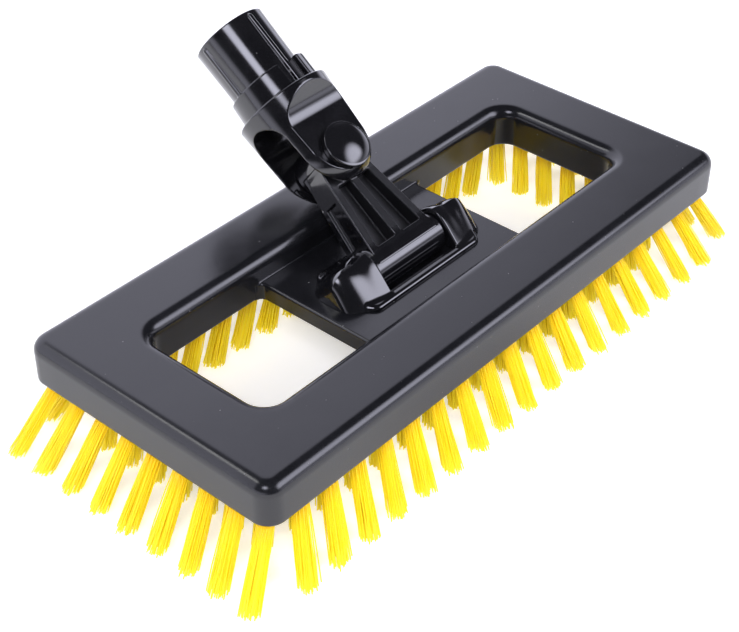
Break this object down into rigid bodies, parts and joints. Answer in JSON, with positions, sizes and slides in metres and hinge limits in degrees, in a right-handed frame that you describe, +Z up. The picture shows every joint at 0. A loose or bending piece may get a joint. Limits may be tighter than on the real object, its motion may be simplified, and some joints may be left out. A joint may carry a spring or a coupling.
{
  "type": "floor scrub brush",
  "caption": "Rectangular floor scrub brush head: a windowed black block with splayed yellow bristles and a two-way swivel with a socket for a handle.",
  "frame": {"origin": "centre of the block's underside, on the flat underside of the centre plate; the bristle tips are 30 mm below it", "axes": "+X along the block's length, -Y towards the block's front, +Z up; the swivel leans back towards +Y at rest"},
  "size_m": [0.2982, 0.1666, 0.1162],
  "materials": {
    "block_plastic": "satin black moulded plastic with soft sheen",
    "swivel_plastic": "high-gloss black moulded plastic",
    "bristle_nylon": "straight stiff yellow filaments, slightly translucent",
    "steel": "plain bright steel"
  },
  "bodies": {
    "block": {"brush_block": "block_plastic", "bristles_front": "bristle_nylon", "bristles_rear": "bristle_nylon", "bristles_left": "bristle_nylon", "bristles_right": "bristle_nylon", "hinge_bracket": "swivel_plastic", "hinge_pin": "steel", "bracket_screw_1": "steel", "bracket_screw_2": "steel", "bracket_screw_3": "steel", "bracket_screw_4": "steel"},
    "arm": {"swivel_arm": "swivel_plastic"},
    "socket": {"handle_socket": "swivel_plastic", "pivot_pin": "steel", "pivot_cap_front": "swivel_plastic", "pivot_cap_rear": "swivel_plastic"}
  },
  "joints": [
    {"name": "tilt_hinge", "type": "hinge", "parent": "block", "child": "arm", "pos_m": [0, 0, 0.0105], "axis": [1, 0, 0], "range_deg": [0, 107]},
    {"name": "swing_pivot", "type": "hinge", "parent": "arm", "child": "socket", "pos_m": [0, 0.03571, 0.03621], "axis": [0, -0.5842, 0.8116], "range_deg": [-70, 70]}
  ]
}
